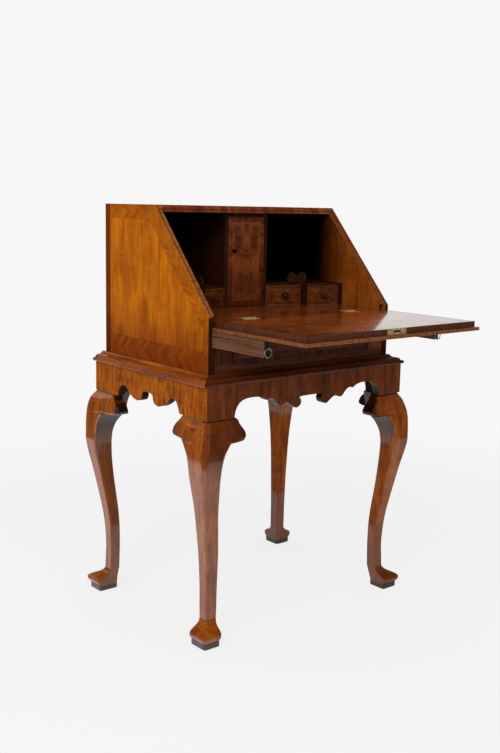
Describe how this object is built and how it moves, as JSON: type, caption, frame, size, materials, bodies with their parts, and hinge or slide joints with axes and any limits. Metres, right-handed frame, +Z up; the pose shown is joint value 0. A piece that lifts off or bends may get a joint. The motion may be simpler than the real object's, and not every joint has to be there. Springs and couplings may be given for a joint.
{
  "type": "bureau on stand",
  "caption": "Slope-front writing bureau on a cabriole-leg stand, with a hinged fall on sliding lopers, a long drawer, and an inner cupboard, small drawers and letter spaces.",
  "frame": {"origin": "on the floor under the middle of the whole open bureau's bounding box", "axes": "+Z up, -Y to the front where the fall opens, +X to the right of a person who faces its back from the front of the desk"},
  "size_m": [0.6784, 0.7596, 1],
  "materials": {
    "stand_walnut": "dark reddish walnut, waxed",
    "case_walnut": "golden figured walnut veneer, french polished",
    "fall_walnut": "reddish brown walnut, french polished",
    "dark_walnut": "dark worn walnut",
    "lining": "plain unpolished softwood or oak, aged",
    "brass": "aged brass",
    "iron": "dull iron"
  },
  "bodies": {
    "base": {"leg_front_left": "stand_walnut", "leg_front_right": "stand_walnut", "leg_back_left": "stand_walnut", "leg_back_right": "stand_walnut", "apron_front": "stand_walnut", "apron_left": "stand_walnut", "apron_right": "stand_walnut", "back_rail": "stand_walnut", "moulding_front": "stand_walnut", "moulding_left": "stand_walnut", "moulding_right": "stand_walnut", "case_side_left": "case_walnut", "case_side_right": "case_walnut", "top_board": "case_walnut", "bottom_board": "case_walnut", "stile_left": "case_walnut", "stile_right": "case_walnut", "guide_left": "lining", "guide_right": "lining", "back_board": "lining", "writing_bed": "fall_walnut", "hinge_bed_leaf_left": "brass", "hinge_bed_leaf_right": "brass", "drawer_housing_left": "fall_walnut", "drawer_housing_right": "fall_walnut", "letter_partition_left": "fall_walnut", "letter_partition_right": "fall_walnut", "cupboard_side_left": "fall_walnut", "cupboard_side_right": "fall_walnut", "cupboard_head": "fall_walnut", "door_hinge_upper_fixed_leaf": "brass", "door_hinge_lower_fixed_leaf": "brass"},
    "fall": {"fall_panel": "fall_walnut", "fall_lipping": "case_walnut", "hinge_fall_leaf_left": "brass", "hinge_fall_leaf_right": "brass", "lock_plate": "brass"},
    "bolt": {"lock_bolt": "iron"},
    "loper_left": {"loper_left": "dark_walnut", "ring_eye_left": "brass"},
    "loper_right": {"loper_right": "dark_walnut", "ring_eye_right": "brass"},
    "ring_left": {"ring_left": "brass"},
    "ring_right": {"ring_right": "brass"},
    "long_drawer": {"drawer_front": "case_walnut", "drawer_box": "lining", "drawer_knob_left": "brass", "drawer_knob_right": "brass"},
    "small_drawer_inner_left": {"small_drawer_inner_left": "fall_walnut", "small_drawer_inner_left_knob": "dark_walnut"},
    "small_drawer_inner_right": {"small_drawer_inner_right": "fall_walnut", "small_drawer_inner_right_knob": "dark_walnut"},
    "small_drawer_outer_left": {"small_drawer_outer_left": "fall_walnut", "small_drawer_outer_left_knob": "dark_walnut"},
    "small_drawer_outer_right": {"small_drawer_outer_right": "fall_walnut", "small_drawer_outer_right_knob": "dark_walnut"},
    "door": {"cupboard_door": "fall_walnut", "door_knob": "brass", "door_hinge_upper_moving_leaf": "brass", "door_hinge_lower_moving_leaf": "brass"}
  },
  "joints": [
    {"name": "fall_hinge", "type": "hinge", "parent": "base", "child": "fall", "pos_m": [0, -0.06635, 0.747], "axis": [1, 0, 0], "range_deg": [-131.83, 0]},
    {"name": "bolt_slide", "type": "slide", "parent": "fall", "child": "bolt", "axis": [0, -1, 0], "range_m": [0, 0.01]},
    {"name": "loper_left_slide", "type": "slide", "parent": "base", "child": "loper_left", "axis": [0, -1, 0], "range_m": [-0.175, 0]},
    {"name": "loper_right_slide", "type": "slide", "parent": "base", "child": "loper_right", "axis": [0, -1, 0], "range_m": [-0.175, 0]},
    {"name": "ring_left_hinge", "type": "hinge", "parent": "loper_left", "child": "ring_left", "pos_m": [-0.273, -0.26085, 0.7095], "axis": [-1, 0, 0], "range_deg": [0, 85]},
    {"name": "ring_right_hinge", "type": "hinge", "parent": "loper_right", "child": "ring_right", "pos_m": [0.273, -0.26085, 0.7095], "axis": [-1, 0, 0], "range_deg": [0, 85]},
    {"name": "long_drawer_slide", "type": "slide", "parent": "base", "child": "long_drawer", "axis": [0, -1, 0], "range_m": [0, 0.28]},
    {"name": "small_drawer_inner_left_slide", "type": "slide", "parent": "base", "child": "small_drawer_inner_left", "axis": [0, -1, 0], "range_m": [0, 0.12]},
    {"name": "small_drawer_inner_right_slide", "type": "slide", "parent": "base", "child": "small_drawer_inner_right", "axis": [0, -1, 0], "range_m": [0, 0.12]},
    {"name": "small_drawer_outer_left_slide", "type": "slide", "parent": "base", "child": "small_drawer_outer_left", "axis": [0, -1, 0], "range_m": [0, 0.12]},
    {"name": "small_drawer_outer_right_slide", "type": "slide", "parent": "base", "child": "small_drawer_outer_right", "axis": [0, -1, 0], "range_m": [0, 0.12]},
    {"name": "door_hinge", "type": "hinge", "parent": "base", "child": "door", "pos_m": [0.05825, 0.14515, 0.747], "axis": [0, 0, 1], "range_deg": [0, 90]}
  ]
}
